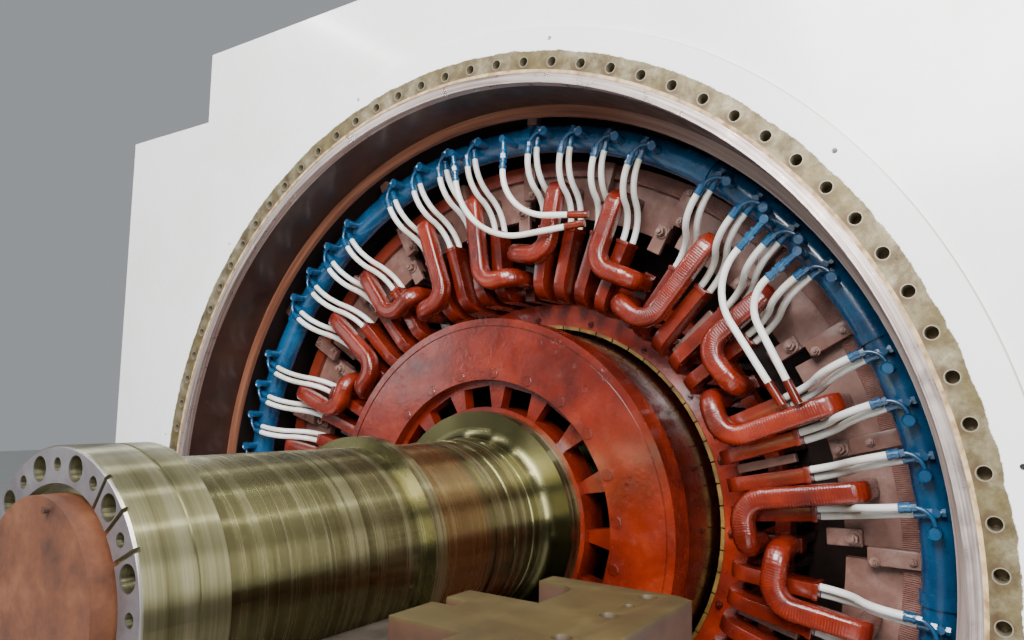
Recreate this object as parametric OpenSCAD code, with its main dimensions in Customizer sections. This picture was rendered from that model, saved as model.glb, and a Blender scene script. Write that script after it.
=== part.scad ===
// Turbogenerator with its front end shield off: box casing on the ground, stator with water-cooled
// end winding, rotor that turns in its bore, and the open lower half of the front bearing pedestal.
// Axis of the rotor along Y, front towards -Y, floor at z = 0, middle of the outline at x = y = 0.

/* [Casing] */
// height of the rotor axis above the floor, mm
axis_h = 2350; // [2260:10:2900]
// half width of the casing boxes, mm
box_hw = 2424; // [2150:1:2600]
// half height of the wide part of the boxes, mm
box_hh = 1970; // [1700:1:2200]
// half width of the raised top and of the foot, mm
neck_hw = 1720; // [1200:1:2000]
// length of the front and of the rear box, mm
box_l = 1600; // [1300:10:2000]
// length of the round barrel between the boxes, mm
barrel_l = 3600; // [2500:10:5000]
// outer radius of the barrel, mm
barrel_r = 2100; // [1950:5:2150]
// plate thickness of the barrel, mm
plate_t = 40; // [20:1:60]
// number of ribs around the barrel
rib_n = 5; // [3:1:8]
// height of the ribs, mm
rib_h = 150; // [80:5:160]
// thickness of the ribs, mm
rib_t = 40; // [20:1:60]
// distance of each base rail from the middle, mm
rail_x = 1400; // [1200:10:1500]
// width of a base rail, mm
rail_w = 400; // [200:10:500]
// thickness of the front and rear wall, mm
wall_t = 60; // [40:1:90]
// depth of the front wall behind the flange face, mm
wall_set = 15; // [5:1:40]
// outer radius of the rear end shield, mm
shield_r = 1700; // [1400:10:1900]
// depth of the rear bearing housing behind the rear wall, mm
housing_d = 420; // [250:10:500]
// radius of the rear bearing housing, mm
housing_r = 620; // [450:10:700]
// gap between pieces that sit on each other, mm
seat = 0.2; // [0.1:0.05:0.4]

/* [End flange] */
// bolt circle radius of the end flange, mm
bolt_r = 1850; // [1845:1:1900]
// number of bolt holes in the end flange
bolt_n = 88; // [60:4:100]
// radius of the bolt holes, mm
bolt_hole_r = 19; // [10:0.5:22]
// depth of the bolt holes, mm
bolt_hole_d = 60; // [40:1:70]
// outer radius of the raised flange face, mm
flange_ro = 1989; // [1960:1:2050]
// radius of the jack holes, mm
jack_r = 9; // [5:0.5:12]
// distance of the jack holes outside the bolt circle, mm
jack_out = 91; // [60:1:100]
// outer radius of the bright rim, mm
rim_ro = 1806; // [1790:1:1809]
// radius of the bore, mm
bore_r = 1769; // [1745:1:1780]
// depth of the bright rim, mm
rim_d = 40; // [20:1:60]
// width of the gasket, mm
gasket_w = 13; // [6:1:15]
// depth of the gasket groove, mm
gasket_d = 12; // [6:1:20]
// height of the gasket above the flange face, mm
gasket_up = 2; // [0.5:0.5:4]
// depth of the bore lining, mm
lining_d = 270; // [200:5:300]
// inner radius of the baffle ring, mm
baffle_ri = 1724; // [1700:1:1740]
// thickness of the baffle ring, mm
baffle_t = 25; // [10:1:40]
// inner radius of the shell around the end winding, mm
shell_ri = 1780; // [1750:1:1785]

/* [Winding] */
// inner radius of the core, mm
core_ri = 885; // [872:1:910]
// number of winding bars around the bore
bar_n = 60; // [60:30:60]
// bars from one lead crossing to the next
belt_n = 5; // [5:1:5]
// angle of the first pipe boss above the joint, degrees
boss_a0 = 4.0; // [3:0.1:5]
// turn from a pipe boss to its bar head, degrees
head_turn = 1.5; // [1:0.1:2]
// outer radius of the bar heads, mm
head_ro = 1272; // [1230:1:1290]
// width of a bar head, mm
head_w = 52; // [36:1:56]
// depth of a bar head and radius of its bend, mm
head_d = 95; // [70:1:110]
// place of the bar heads behind the flange face, mm
head_y = 462; // [455:1:480]
// length of the collar on a bar head, mm
head_cap = 18; // [8:1:26]
// thickness of the bars where they run to the core, mm
bar_t = 70; // [50:1:80]
// place where a bar head meets its bar, mm
joint_y = 690; // [665:1:720]
// outer radius of the support ring, mm
support_ro = 960; // [900:1:985]
// width of the support ring, mm
support_w = 98; // [40:1:105]
// place of the support ring, mm
support_y = 740; // [725:1:850]
// length of the support ring, mm
support_l = 60; // [40:1:90]
// depth of the packing blocks inside the support ring, mm
packing_h = 16; // [8:1:20]
// number of packing blocks
packing_n = 60; // [40:2:72]
// gap between two packing blocks, mm
packing_gap = 6; // [2:1:20]
// place of the binding ring, mm
binding_y = 860; // [820:5:1000]
// height of the binding ring, mm
binding_h = 60; // [30:1:80]
// length of the binding ring, mm
binding_l = 90; // [50:1:150]

/* [Buses and clamps] */
// inner radius of the buses, mm
bus_ri = 1540; // [1500:1:1550]
// outer radius of the buses, mm
bus_ro = 1605; // [1570:1:1625]
// place of the buses behind the flange face, mm
bus_y = 575; // [560:1:590]
// thickness of the buses, mm
bus_t = 40; // [20:1:50]
// arc of one bus, degrees
bus_arc = 28.5; // [24:0.5:29]
// inner radius of the clamp plates, mm
clamp_ri = 1350; // [1320:1:1380]
// place of the clamp plates, mm
clamp_y = 600; // [590:1:620]
// thickness of the clamp plates, mm
clamp_t = 40; // [20:1:50]
// width of the clamp brackets, mm
bracket_w = 60; // [40:1:80]
// inner end of the clamp brackets, mm
bracket_ri = 1430; // [1380:1:1455]
// thickness of the clamp brackets, mm
bracket_t = 35; // [20:1:45]
// thickness of the gussets behind the clamp plates, mm
gusset_t = 30; // [20:1:50]
// turn of a gusset from the lead crossing, degrees
gusset_a = 5; // [3:0.5:10]

/* [Leads] */
// place of the lead centre lines behind the flange face, mm
lead_y = 410; // [405:1:412]
// width of a lead's leg, mm
leg_w = 66; // [40:1:68]
// depth of a lead's leg, mm
leg_d = 66; // [40:1:68]
// outer end of a lead's leg, mm
leg_ro = 1480; // [1450:1:1500]
// radius of the taped tubes of the leads, mm
tube_r = 40; // [36:1:42]
// centre line radius of the bend between leg and arm, mm
elbow_r = 85; // [75:1:90]
// centre line radius of the bend into the machine, mm
fist_r = 50; // [46:1:55]
// thickness of the tape on a lead's arm, mm
tape_t = 2; // [1:0.5:4]
// radius where the inner arms run, mm
arm_in = 1040; // [1030:1:1045]
// radius where the outer arms run, mm
arm_out = 1146; // [1140:1:1160]
// turn from a lead's leg to its crossing, degrees
arm_turn = 9; // [8.8:0.1:9.3]

/* [Cooling water] */
// radius of the ring pipe's centre line, mm
pipe_R = 1669; // [1660:1:1675]
// radius of the ring pipe, mm
pipe_r = 59; // [54:0.5:60]
// place of the ring pipe's centre, mm
pipe_y = 430; // [425:1:440]
// arc of a pipe collar, degrees
collar_arc = 1.4; // [0.8:0.1:2]
// turn from a pipe collar to the boss place above it, degrees
collar_back = 1.6; // [1:0.1:2]
// height of a pipe collar above the pipe, mm
collar_h = 8; // [4:0.5:10]
// radius of a boss on the pipe, mm
boss_r = 18; // [14:0.5:22]
// height of a boss in front of the pipe's centre, mm
boss_h = 122; // [118:1:130]
// radius of a gooseneck tube, mm
goose_r = 7; // [5:0.5:9]
// centre line radius of a gooseneck, mm
goose_bend = 60; // [56:1:64]
// place of the goosenecks and front hoses, mm
front_y = 322; // [318:1:324]
// place of the rear hose nozzles, mm
rear_y = 354; // [352:1:355]
// radius of a hose, mm
hose_r = 13; // [9:0.5:13.5]
// radius of a hose sleeve, mm
sleeve_r = 16; // [14:0.5:17]
// length of a hose sleeve, mm
sleeve_l = 37; // [25:1:45]
// radius where the goosenecks start, mm
goose_x = 1612; // [1608:1:1616]
// gap between the two hoses of a bar head along the turn, mm
pair_gap = 30; // [28:1:34]
// place of the single hoses where they start, mm
single_y = 285; // [280:1:290]
// distance of the single nozzles inside the pipe's centre line, mm
nozzle_in = 26; // [10:1:34]
// radius where the single hoses start, mm
single_r0 = 1508; // [1490:1:1520]
// length of the taps at the ends of the single hoses, mm
tap_l = 90; // [60:1:110]

/* [Rotor] */
// radius of the shaft journal, mm
shaft_r = 332; // [300:1:340]
// radius of the shaft collar, mm
collar_r = 368; // [350:1:380]
// front face of the shaft collar, mm
collar_y = -505; // [-540:1:-480]
// width of the shaft collar, mm
collar_w = 60; // [40:1:80]
// radius of the shaft in the rotor body, mm
core_shaft_r = 430; // [400:1:440]
// radius of the rear shaft end, mm
tail_r = 300; // [250:1:320]
// length of the rear shaft end behind the rear wall, mm
tail_l = 574; // [520:2:700]
// radius of the half coupling, mm
coupling_r = 375; // [368:1:400]
// face of the half coupling, mm
coupling_y = -1480; // [-1600:5:-1450]
// length of the half coupling, mm
coupling_l = 222; // [180:1:230]
// bolt circle radius of the half coupling, mm
coupling_pcr = 329; // [326:1:332]
// radius of the twelve large coupling holes, mm
coupling_hole_r = 32; // [24:0.5:33]
// radius of the twelve small coupling holes, mm
coupling_small_r = 17; // [10:0.5:20]
// width of the slots in the coupling face, mm
slot_w = 12; // [6:1:16]
// depth of the slots in the coupling face, mm
slot_d = 12; // [4:1:20]
// radius of the recess in the coupling face, mm
recess_r = 285; // [275:1:290]
// depth of the recess in the coupling face, mm
recess_d = 30; // [15:1:50]
// radius of the cap disc, mm
cap_r = 260; // [240:1:272]
// height of the cap disc above the coupling face, mm
cap_up = 46; // [6:2:60]
// radius of the shaft inside the coupling, mm
spigot_r = 262; // [220:1:264]
// radius of the steel hub flange, mm
hub_r = 453; // [445:1:460]
// face of the steel hub flange, mm
hub_y = 192; // [185:1:200]
// thickness of the steel hub flange, mm
hub_t = 72; // [50:1:90]
// radius of the fillet before the hub flange, mm
hub_fillet = 45; // [20:1:60]
// radius of the red hub ring, mm
hub_ring_r = 472; // [462:1:480]
// length of the red hub ring, mm
hub_ring_l = 150; // [135:1:200]
// radius of the centring disc, mm
disc_r = 849; // [835:1:852]
// radius of the hole in the centring disc, mm
disc_hole_r = 588; // [570:1:600]
// place of the centring disc's face, mm
disc_y = 250; // [225:1:262]
// thickness of the centring disc, mm
disc_t = 130; // [110:1:135]
// number of bolts in the centring disc
disc_bolt_n = 22; // [16:1:30]
// bolt circle radius of the centring disc, mm
disc_bolt_pcr = 615; // [612:1:640]
// radius of a bolt head of the centring disc, mm
disc_bolt_r = 13; // [8:0.5:14]
// radius of the turned groove in the centring disc, mm
groove_r = 816; // [790:1:825]
// number of spokes between hub ring and centring disc
spoke_n = 16; // [12:1:20]
// width of a window between two spokes, mm
window_w = 138; // [80:1:148]
// outer radius of the windows, mm
window_ro = 560; // [530:1:575]
// place of the spoke ring, mm
spoke_y = 300; // [290:1:310]
// thickness of the spoke ring, mm
spoke_t = 60; // [30:1:80]
// outer radius of the retaining rings, mm
ring_r = 825; // [800:1:830]
// wall of the retaining rings, mm
ring_wall = 125; // [80:1:140]
// radius of the rotor body, mm
body_r = 812; // [780:1:820]
// length of the rotor body past each core end, mm
body_over = 100; // [50:5:150]

/* [Bearing pedestal] */
// half width of the pedestal, mm
ped_hw = 1193; // [1150:1:1300]
// inner side of the outer beams, mm
ped_beam = 895; // [880:1:920]
// inner side of the tongues, mm
ped_tongue = 679; // [660:1:700]
// rear face of the pedestal, mm
ped_y1 = -462; // [-480:1:-440]
// front face of the pedestal, mm
ped_y0 = -1212; // [-1230:1:-1190]
// front face of the tongues, mm
tongue_y0 = -1055; // [-1080:1:-1030]
// rear face of the tongues, mm
tongue_y1 = -746; // [-770:1:-720]
// inner end of the pedestal's rear wall at the joint face, mm
ped_wall_x = 768; // [740:1:800]
// thickness of the pedestal's rear wall at the joint face, mm
ped_wall_t = 78; // [50:1:90]
// radius between the rear wall and a beam, mm
ped_fillet = 60; // [30:1:70]
// bevel of the rear outer corners of the pedestal, mm
ped_bevel = 44; // [10:1:70]
// depth of the ledge below the joint face, mm
ledge_d = 160; // [100:5:200]
// thickness of the pedestal's base plate, mm
ped_base_t = 120; // [60:5:160]
// rim of the base plate around the pedestal, mm
ped_rim = 120; // [60:5:200]
// outer radius of the bearing shell, mm
shell_ro = 600; // [500:1:640]
// inset of the bearing shell from the pedestal faces, mm
shell_in = 60; // [20:5:100]
// running gap between journal and shell, mm
run_gap = 0.06; // [0.02:0.01:0.1]
// radius of the pedestal's bolt holes, mm
ped_hole_r = 24; // [18:1:28]
// radius of the pedestal's dowel holes, mm
dowel_r = 15; // [8:1:18]
// depth of the holes in the joint face, mm
ped_hole_d = 200; // [100:10:300]
// distance between the bolt holes of one side, mm
ped_pitch = 220; // [200:1:235]
// distance of the holes from the outer sides, mm
ped_edge = 105; // [80:1:130]
// width of the notch in a tongue, mm
notch_w = 67; // [40:1:80]
// length of the notch in a tongue, mm
notch_l = 55; // [40:1:70]

/* [Hidden] */
$fn = 96;
lap = 0.1;
pitch = 360/bar_n;
rear_end = 2*box_l + barrel_l;
shaft_end = rear_end + tail_l;
y_face = -(shaft_end + coupling_y - cap_up)/2;
flange_t = wall_set + wall_t;
flange_m = rim_ro + gasket_w;
core_y = box_l + seat;
core_l = barrel_l - 2*seat;
support_ri = support_ro - support_w;
bar_ri = support_ro + seat;
belt = belt_n*pitch;
cross_a0 = boss_a0 + head_turn - pitch;
hose_turn = asin((goose_bend + boss_r + seat)/pipe_R);
head_z = -head_ro*sin(hose_turn - head_turn);
groups = [for (k = [0:bar_n/2 - 1]) if (k % belt_n != belt_n - 1) k];
singles = [[44.4, 26.4, 1295, 75], [38.6, 25.5, 1356, 75], [98.4, 75.3, 1275, 87], [88.5, 75.0, 1326, 88]];
tunnel_r = disc_r + 36;
ped_mid = (ped_y0 + ped_y1)/2 + 97;

// frame on the rotor axis in the flange face
module on_axis() translate([0, y_face, axis_h]) children();
// turn about the rotor axis, from +X up towards +Z
module polar(a) rotate([0, -a, 0]) children();
// solid of revolution about the rotor axis; x of the outline is the radius, y is the place
module turned() rotate([-90, 0, 0]) rotate_extrude() children();
module ring(ro, ri, y0, y1) turned() translate([ri, y0]) square([ro - ri, y1 - y0]);
// part of a ring that starts at the polar angle and runs upwards
module arc(a, turn, ro, ri, y0, y1) rotate([-90, 0, 0]) rotate([0, 0, -a - turn])
  rotate_extrude(angle = turn) translate([ri, y0]) square([ro - ri, y1 - y0]);
module bar_y(r, y0, y1) translate([0, y0, 0]) rotate([-90, 0, 0]) cylinder(r = r, h = y1 - y0);
module bar_x(r, x0, x1) translate([x0, 0, 0]) rotate([0, 90, 0]) cylinder(r = r, h = x1 - x0);
// both halves of the stator, the lower one turned half round
module halves() for (h = [0, 180]) polar(h) children();
module box_outline() {
  square([2*box_hw, 2*box_hh], center = true);
  square([2*neck_hw, 2*axis_h], center = true);
}
module box_prism(y0, y1) translate([0, y1, 0]) rotate([90, 0, 0]) linear_extrude(y1 - y0) box_outline();
// hose along -X that shifts by off towards +Y in two equal bends
module s_hose(len, off) {
  bend = 2*atan(off/len);
  rad = len/(2*sin(bend));
  translate([0, rad, 0]) rotate([0, 0, -90 - bend])
    rotate_extrude(angle = bend) translate([rad, 0]) circle(hose_r);
  translate([-len, off - rad, 0]) rotate([0, 0, 90 - bend - lap])
    rotate_extrude(angle = bend + lap) translate([rad, 0]) circle(hose_r + 0.4);
}

module front_wall() color("white") on_axis() difference() {
  box_prism(wall_set, flange_t);
  bar_y(flange_ro + seat, wall_set - 1, flange_t + 1);
}
module front_chamber() color("white") on_axis() difference() {
  box_prism(flange_t + seat, box_l);
  bar_y(rim_ro + seat, 0, box_l + 1);
}
module stator_barrel() color("white") on_axis()
  ring(barrel_r, barrel_r - plate_t, core_y, core_y + core_l);
module barrel_ribs() color("white") on_axis() for (k = [1:rib_n])
  translate([0, box_l + k*barrel_l/(rib_n + 1), 0])
    ring(barrel_r + rib_h, barrel_r + seat, -rib_t/2, rib_t/2);
module rear_chamber() color("white") on_axis() difference() {
  box_prism(box_l + barrel_l, rear_end - wall_t - seat);
  bar_y(tunnel_r, box_l + barrel_l - 1, rear_end);
}
module rear_wall() color("white") on_axis() difference() {
  union() {
    box_prism(rear_end - wall_t, rear_end);
    turned() polygon([[0, rear_end - 10], [shield_r, rear_end - 10], [shield_r, rear_end + 60],
      [0.55*shield_r, rear_end + 160], [housing_r, rear_end + 160],
      [housing_r - 20, rear_end + housing_d], [0, rear_end + housing_d]]);
  }
  bar_y(tail_r + 6, rear_end - wall_t - 1, rear_end + 60);
  bar_y(tail_r + run_gap, rear_end, rear_end + housing_d + 1);
}
module base_rails() color("white") on_axis() for (s = [-1, 1])
  difference() {
    translate([s*rail_x - rail_w/2, core_y, -axis_h]) cube([rail_w, core_l, axis_h - 1000]);
    bar_y(barrel_r + rib_h + seat, core_y - 1, core_y + core_l + 1, $fn = 360);
  }
module flange_half(half) polar(half) difference() {
  rotate([-90, 0, 0]) rotate([0, 0, 180]) rotate_extrude(angle = 180)
    polygon([[flange_m + seat, 0], [flange_ro, 0], [flange_ro, flange_t], [rim_ro + seat, flange_t],
      [rim_ro + seat, gasket_d], [flange_m + seat, gasket_d]]);
  for (k = [0:bolt_n/2 - 1]) polar((k + 0.5)*360/bolt_n) translate([bolt_r, 0, 0])
    bar_y(bolt_hole_r, -1, bolt_hole_d);
  for (a = [10.4, 40.9, 76.7, 107.2, 139, 171.5]) polar(a) translate([bolt_r + jack_out, 0, 0])
    bar_y(jack_r, -1, bolt_hole_d);
  translate([-flange_ro - 1, -1, -1]) cube([2*flange_ro + 2, flange_t + 2, 1 + seat/2]);
}
module flange_upper() color("silver") on_axis() flange_half(0);
module flange_lower() color("silver") on_axis() flange_half(180);
module gasket_ring() color("wheat") on_axis()
  ring(flange_m, rim_ro + seat, -gasket_up, gasket_d - seat);
module spigot_rim() color("lightgray") on_axis() ring(rim_ro, bore_r, 0, rim_d);
module bore_lining() color("brown") on_axis() ring(rim_ro, bore_r, rim_d + seat, lining_d);
module baffle_ring() color("sienna") on_axis()
  ring(rim_ro, baffle_ri, lining_d + seat, lining_d + baffle_t);
module core_frame() color("brown") on_axis()
  ring(rim_ro, shell_ri, lining_d + baffle_t + seat, box_l);

module stator_core() color("dimgray") on_axis()
  ring(barrel_r - plate_t - seat, core_ri, core_y, core_y + core_l);
module winding_bars() color("firebrick") on_axis() for (k = [0:bar_n - 1])
  polar(boss_a0 + head_turn + k*pitch) translate([bar_ri, 0, -head_w/2 + 4]) {
    crossing = k % belt_n == belt_n - 1;
    y0 = crossing ? lead_y + fist_r + 110 + seat : joint_y + seat;
    translate([0, y0, 0]) cube([bar_t, core_y - seat - y0, head_w - 8]);
    if (crossing) translate([0, y0, -4]) cube([arm_out + tube_r + 20 - bar_ri, 70, head_w]);
  }
module bar_heads() color("orangered") on_axis() halves() for (k = groups)
  polar(boss_a0 + head_turn + k*pitch) {
    translate([0, 0, -head_w/2]) linear_extrude(head_w) {
      translate([bar_ri + head_d, head_y]) square([head_ro - bar_ri - head_d, head_d]);
      translate([bar_ri, head_y + head_d]) square([bar_t, joint_y - head_y - head_d]);
      intersection() {
        translate([bar_ri + head_d, head_y + head_d]) circle(head_d);
        translate([bar_ri, head_y]) square(head_d);
      }
    }
    translate([head_ro, head_y - 3, -head_w/2 - 3]) cube([head_cap, head_d + 6, head_w + 6]);
  }
// rings inside and outside the bars, and what ties the pipe and the clamps to the frame
module support_ring() color("firebrick") on_axis() {
  ring(support_ro, support_ri, support_y, support_y + support_l);
  ring(bar_ri + bar_t + seat + binding_h, bar_ri + bar_t + seat, binding_y, binding_y + binding_l);
}
module packing_blocks() color("goldenrod") on_axis() for (k = [0:packing_n - 1])
  arc(k*360/packing_n, 360/packing_n - packing_gap*180/(PI*support_ri),
    support_ri - seat, support_ri - packing_h, support_y - 6, support_y + 40);
module bus_arcs() color("firebrick") on_axis() for (k = [0:bar_n/belt_n - 1])
  arc(cross_a0 + (k + 0.5)*belt - bus_arc/2, bus_arc, bus_ro, bus_ri, bus_y, bus_y + bus_t);
module clamp_plates() color("rosybrown") on_axis() for (k = [0:bar_n/belt_n - 1])
  arc(cross_a0 + (k + 0.5)*belt - 14, 28, bus_ri - seat, clamp_ri, clamp_y, clamp_y + clamp_t);
module clamp_brackets() color("rosybrown") on_axis() {
  for (k = [0:bar_n/belt_n - 1]) {
    for (h = [0, 0.5]) polar(cross_a0 + (k + h)*belt)
      translate([bracket_ri, bus_y - seat - bracket_t, -bracket_w/2])
        cube([bus_ro - bracket_ri, bracket_t, bracket_w]);
    for (s = [-1, 1]) polar(cross_a0 + k*belt + s*gusset_a)
      translate([clamp_ri, clamp_y + clamp_t + seat, -gusset_t/2])
        cube([bus_ri - clamp_ri - 10, core_y - clamp_y - clamp_t - 2*seat, gusset_t]);
  }
  halves() for (k = [belt_n - 1 : belt_n : bar_n/2 - 1]) polar(boss_a0 + k*pitch - collar_back)
    translate([pipe_R + pipe_r + collar_h + seat, pipe_y - 25, -25])
      cube([shell_ri - pipe_R - pipe_r - collar_h - 3*seat, 50, 50]);
}
// one lead: leg, bend, arm and bend into the machine, towards +Z of its own frame
module lead(arm_r, side) mirror([0, 0, side > 0 ? 0 : 1]) {
  reach = arm_r*tan(arm_turn);
  translate([arm_r + elbow_r, lead_y - leg_d/2, -leg_w/2])
    cube([leg_ro - arm_r - elbow_r, leg_d, leg_w]);
  translate([leg_ro - 50, lead_y, -leg_w/2]) cube([50, clamp_y - seat - lead_y, leg_w]);
  translate([arm_r + elbow_r, lead_y, elbow_r]) rotate([90, 0, 0]) rotate([0, 0, 180])
    rotate_extrude(angle = 90) translate([elbow_r, 0]) circle(tube_r);
  translate([arm_r, lead_y, elbow_r]) cylinder(r = tube_r + tape_t, h = reach - elbow_r - fist_r + lap);
  translate([arm_r, lead_y + fist_r, reach - fist_r]) rotate([0, -90, 0]) rotate([0, 0, -90])
    rotate_extrude(angle = 90) translate([fist_r, 0]) circle(tube_r);
  translate([arm_r, lead_y + fist_r, reach]) rotate([-90, 0, 0])
    cylinder(r = tube_r - tape_t, h = 110);
}
module inner_leads() color("orangered") on_axis() for (j = [0:bar_n/belt_n - 1]) {
  side = j % 3 == 0 ? -1 : 1;
  polar(cross_a0 + j*belt - side*arm_turn) lead(arm_in, side);
}
module phase_leads() color("orangered") on_axis() for (j = [0:bar_n/belt_n - 1]) {
  side = j % 3 == 0 ? 1 : -1;
  polar(cross_a0 + j*belt - side*arm_turn) lead(arm_out, side);
}

module manifold_pipe() color("mediumblue") on_axis() {
  turned() translate([pipe_R, pipe_y]) circle(pipe_r);
  halves() {
    for (k = groups) {
      polar(boss_a0 + k*pitch) translate([pipe_R, 0, 0]) bar_y(boss_r, pipe_y - boss_h, pipe_y);
      polar(boss_a0 + hose_turn + k*pitch) translate([0, 0, -22]) {
        translate([pipe_R + 8, 0, 0]) bar_y(13, rear_y - 15, pipe_y);
        translate([0, rear_y, 0]) bar_x(10, goose_x + sleeve_l, pipe_R + 32);
      }
    }
    for (q = singles) polar(q[0]) {
      translate([pipe_R - nozzle_in, 0, 0]) bar_y(sleeve_r, single_y - sleeve_r, pipe_y);
      translate([0, single_y, 0]) bar_x(hose_r, single_r0 + seat, pipe_R - nozzle_in + 4);
    }
  }
}
module manifold_collars() color("mediumblue") on_axis() halves()
  for (k = [belt_n - 1 : belt_n : bar_n/2 - 1]) rotate([-90, 0, 0])
    rotate([0, 0, -boss_a0 - k*pitch - collar_arc/2 + collar_back]) rotate_extrude(angle = collar_arc)
      translate([pipe_R, pipe_y]) difference() { circle(pipe_r + collar_h); circle(pipe_r + seat); }
module manifold_fittings() color("mediumblue") on_axis() halves() for (k = groups)
  polar(boss_a0 + hose_turn + k*pitch) {
    translate([goose_x + seat, front_y, -goose_bend]) rotate([-90, 0, 0]) rotate([0, 0, -90])
      rotate_extrude(angle = 90) translate([goose_bend, 0]) circle(goose_r);
    translate([0, front_y, 0]) bar_x(sleeve_r, goose_x - sleeve_l, goose_x);
    translate([0, rear_y, -22]) bar_x(sleeve_r - 1, goose_x, goose_x + sleeve_l - seat);
  }
module pair_hose(x0, y0, z0, y1, z1) {
  dy = y1 - y0;
  dz = z1 - z0;
  translate([x0, y0, z0]) rotate([atan2(dz, dy), 0, 0])
    s_hose(x0 - head_ro - head_cap - 0.8, norm([dy, dz]));
}
module winding_hoses() color("ivory") on_axis() halves() for (k = groups)
  polar(boss_a0 + hose_turn + k*pitch)
    pair_hose(goose_x - sleeve_l - seat, front_y, 0, head_y + 0.3*head_d, head_z + pair_gap/2);
module rear_hoses() color("ivory") on_axis() halves() for (k = groups)
  polar(boss_a0 + hose_turn + k*pitch)
    pair_hose(goose_x - seat, rear_y, -22, head_y + 0.66*head_d, head_z - pair_gap/2);
// frame of a single hose: it runs inwards, bends round to -Z and ends flat on a lead's leg
module single_route(a0, a1, r1, bend, tap) {
  dx = single_r0 - r1*cos(a0 - a1);
  dz = r1*sin(a0 - a1);
  run = dz/tan(bend/2) - dx;
  rad = (dx - run*cos(bend))/sin(bend);
  drop = lead_y - leg_d/2 - sleeve_r - seat - single_y;
  polar(a0) translate([single_r0, single_y, 0])
    rotate([asin(drop/(dz + tap_l*sin(bend))), 0, 0]) {
      if (!tap) translate([0, 0, -rad]) rotate([-90, 0, 0]) rotate([0, 0, -90 - bend])
        rotate_extrude(angle = bend) translate([rad, 0]) circle(hose_r);
      translate([-rad*sin(bend), 0, -rad*(1 - cos(bend))]) rotate([0, 180 - bend, 0])
        if (tap) bar_x(sleeve_r, run + seat, run + tap_l);
        else bar_x(hose_r + 0.4, -lap, run);
    }
}
module single_hoses() color("ivory") on_axis() halves() for (q = singles)
  single_route(q[0], q[1], q[2], q[3], false);
module hose_taps() color("orangered") on_axis() halves() for (q = singles)
  single_route(q[0], q[1], q[2], q[3], true);

module bearing_pedestal() color("tan") on_axis() difference() {
  union() {
    for (s = [0, 1]) mirror([s, 0, 0]) {
      translate([0, 0, -axis_h + ped_base_t + seat]) linear_extrude(axis_h - ped_base_t - seat)
        polygon([[ped_beam, ped_y0], [ped_hw, ped_y0], [ped_hw, ped_y1 - ped_bevel/2],
          [ped_hw - ped_bevel, ped_y1], [ped_beam, ped_y1]]);
      translate([ped_tongue, tongue_y0, -2*ledge_d])
        cube([ped_beam - ped_tongue + 1, tongue_y1 - tongue_y0, 2*ledge_d]);
      translate([0, 0, -2*ledge_d]) linear_extrude(2*ledge_d) difference() {
        translate([ped_wall_x, ped_y1 - ped_wall_t - ped_fillet])
          square([ped_beam - ped_wall_x + 1, ped_wall_t + ped_fillet]);
        translate([ped_wall_x - 1, ped_y1 - ped_wall_t - ped_fillet - 1])
          square([ped_beam - ped_fillet - ped_wall_x + 1, ped_fillet + 1]);
        translate([ped_beam - ped_fillet, ped_y1 - ped_wall_t - ped_fillet]) circle(ped_fillet);
      }
    }
    translate([-ped_beam - 1, ped_y0, -axis_h + ped_base_t + seat])
      cube([2*ped_beam + 2, ped_y1 - ped_y0, axis_h - ped_base_t - seat - ledge_d]);
  }
  bar_y(shell_ro + seat, ped_y0 - 1, ped_y1 + 1);
  for (s = [-1, 1], k = [-1, 0, 1]) translate([s*(ped_hw - ped_edge), ped_mid + k*ped_pitch, -ped_hole_d])
    cylinder(r = ped_hole_r, h = ped_hole_d + 1);
  for (s = [-1, 1]) translate([s*(ped_hw - ped_edge), ped_mid + ped_pitch/2, -ped_hole_d])
    cylinder(r = dowel_r, h = ped_hole_d + 1);
  for (s = [-1, 1]) translate([s*(ped_tongue + notch_w/2) - notch_w/2, -897, -60])
    cube([notch_w, notch_l, 61]);
}
module bearing_shell() color("gray") on_axis() difference() {
  ring(shell_ro, shaft_r + run_gap, ped_y0 + shell_in, ped_y1 - shell_in);
  translate([-shell_ro - 1, ped_y0, -ledge_d]) cube([2*shell_ro + 2, ped_y1 - ped_y0, shell_ro + 2*ledge_d]);
}
module pedestal_base() color("dimgray") on_axis()
  translate([-ped_hw - ped_rim, ped_y0 - ped_rim/3, -axis_h])
    cube([2*(ped_hw + ped_rim), ped_y1 - ped_y0 + 2*ped_rim/3, ped_base_t]);

module shaft() color("silver") on_axis() turned() difference() {
  union() {
    translate([0, coupling_y + recess_d]) square([spigot_r, coupling_l]);
    translate([0, coupling_y + coupling_l + seat])
      square([shaft_r, hub_y - coupling_y - coupling_l]);
    translate([0, collar_y]) square([collar_r, collar_w]);
    polygon([[0, -130], [shaft_r + 5, -130], [shaft_r + 5, -22], [shaft_r + 10, -20],
      [shaft_r + 10, 96], [shaft_r + 13, 100], [shaft_r + 13, hub_y - hub_fillet],
      [shaft_r + 13 + hub_fillet, hub_y], [hub_r, hub_y], [hub_r, hub_y + hub_t],
      [core_shaft_r, hub_y + hub_t], [core_shaft_r, core_y + core_l + body_over + 1020],
      [tail_r, core_y + core_l + body_over + 1020], [tail_r, shaft_end], [0, shaft_end]]);
  }
  translate([shaft_r + 13 + hub_fillet, hub_y - hub_fillet]) circle(hub_fillet);
}
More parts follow.
